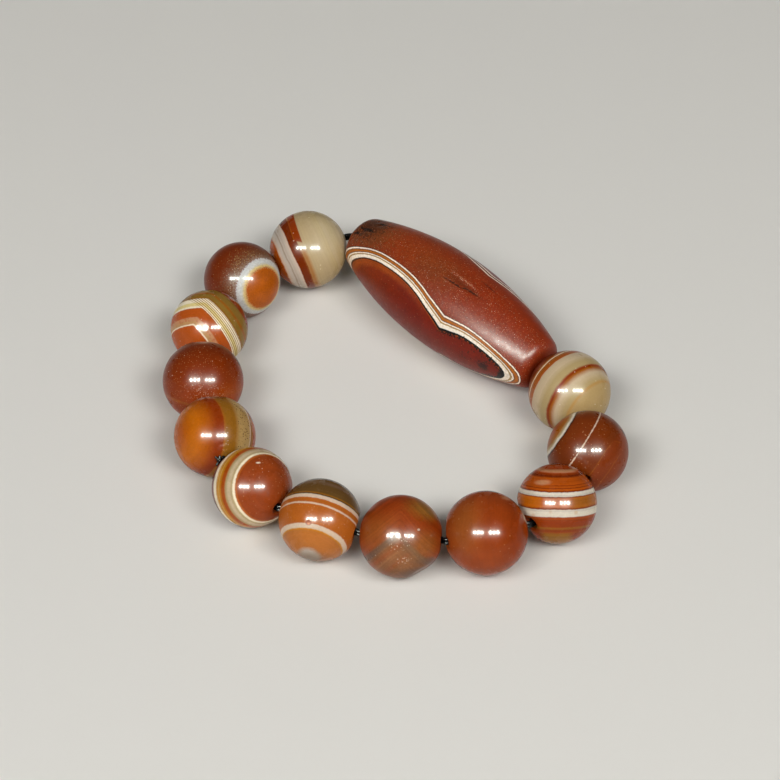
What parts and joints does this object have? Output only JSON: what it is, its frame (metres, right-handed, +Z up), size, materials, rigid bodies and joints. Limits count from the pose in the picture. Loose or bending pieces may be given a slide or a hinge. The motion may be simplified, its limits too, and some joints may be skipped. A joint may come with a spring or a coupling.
{
  "type": "dzi bead bracelet",
  "caption": "Bracelet of round banded agate beads and one long barrel-shaped dzi bead, strung on a doubled black elastic cord and lying flat.",
  "frame": {"origin": "on the surface that the bracelet lies on, under the middle of its outer box", "axes": "+Z up from the surface, +Y towards the rear left, where the barrel bead ends, +X to the right as the picture's camera sees it"},
  "size_m": [0.0746, 0.08, 0.0164],
  "materials": {
    "cream_agate": "polished, glossy",
    "brown_agate": "polished, glossy",
    "orange_agate": "polished, glossy",
    "red_agate": "polished, glossy",
    "barrel_agate": "worn to a satin",
    "black_elastic": "smooth, slightly glossy"
  },
  "bodies": {
    "root": {"round_bead_01": "cream_agate", "round_bead_02": "brown_agate", "round_bead_03": "orange_agate", "round_bead_04": "brown_agate", "round_bead_05": "orange_agate", "round_bead_06": "red_agate", "round_bead_07": "orange_agate", "round_bead_08": "red_agate", "round_bead_09": "red_agate", "round_bead_10": "orange_agate", "round_bead_11": "brown_agate", "round_bead_12": "cream_agate", "barrel_bead": "barrel_agate", "elastic_cord": "black_elastic", "cord_knot": "black_elastic"}
  },
  "joints": []
}
